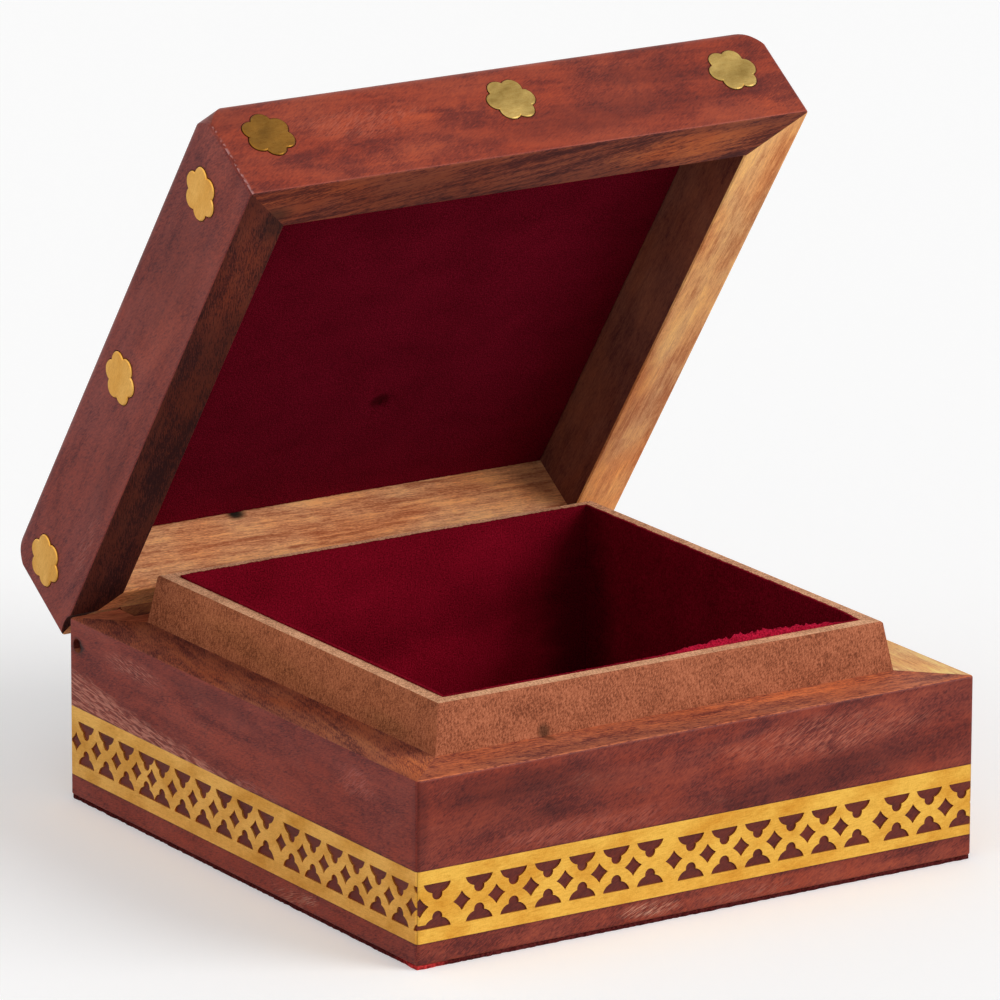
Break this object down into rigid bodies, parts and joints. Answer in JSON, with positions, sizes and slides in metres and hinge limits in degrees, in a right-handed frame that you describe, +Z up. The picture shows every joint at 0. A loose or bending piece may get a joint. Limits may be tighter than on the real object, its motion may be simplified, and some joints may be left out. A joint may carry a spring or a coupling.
{
  "type": "inlaid hinged box",
  "caption": "Square rosewood box with a hinged lid on hidden nails, a pierced brass strip round the case, brass rosettes, a stone inlaid top and a velvet lined liner.",
  "frame": {"origin": "centre of the underside of the felt that the box stands on", "axes": "+Z up, the front looks along -Y and the hinge is at +Y; stored with the lid open"},
  "size_m": [0.1276, 0.1481, 0.149],
  "materials": {
    "rosewood": "oiled, half gloss",
    "fibreboard": "raw, matt",
    "board": "raw, matt",
    "felt": "short felt",
    "velvet": "short pile",
    "brass": "rubbed, slightly tarnished",
    "nail_steel": "drawn wire",
    "resin": "ground and polished",
    "turquoise": "polished",
    "lapis": "polished",
    "carnelian": "polished",
    "malachite": "polished",
    "tiger_eye": "polished",
    "mother_of_pearl": "polished"
  },
  "bodies": {
    "base": {"base_front_wall": "rosewood", "base_back_wall": "rosewood", "base_left_wall": "rosewood", "base_right_wall": "rosewood", "bottom_board": "board", "bottom_felt": "felt", "brass_band_front": "brass", "brass_band_left": "brass", "brass_band_back": "brass", "brass_band_right": "brass", "liner_front": "fibreboard", "liner_back": "fibreboard", "liner_left": "fibreboard", "liner_right": "fibreboard", "velvet_front": "velvet", "velvet_back": "velvet", "velvet_left": "velvet", "velvet_right": "velvet", "velvet_floor": "velvet", "hinge_pin_left": "nail_steel", "hinge_pin_right": "nail_steel"},
    "lid": {"lid_front_rail": "rosewood", "lid_back_rail": "rosewood", "lid_left_rail": "rosewood", "lid_right_rail": "rosewood", "hinge_rail": "rosewood", "lid_top_board": "rosewood", "lid_velvet": "velvet", "flowers_front": "brass", "flowers_left": "brass", "flowers_right": "brass", "flowers_back": "brass", "inlay_brass_frame": "brass", "inlay_resin_bed": "resin", "turquoise_chips": "turquoise", "lapis_chips": "lapis", "carnelian_chips": "carnelian", "malachite_chips": "malachite", "tiger_eye_chips": "tiger_eye", "mother_of_pearl_chips": "mother_of_pearl"}
  },
  "joints": [
    {"name": "lid_hinge", "type": "hinge", "parent": "base", "child": "lid", "pos_m": [0, 0.0605, 0.0319], "axis": [1, 0, 0], "range_deg": [0, 55.3]}
  ]
}
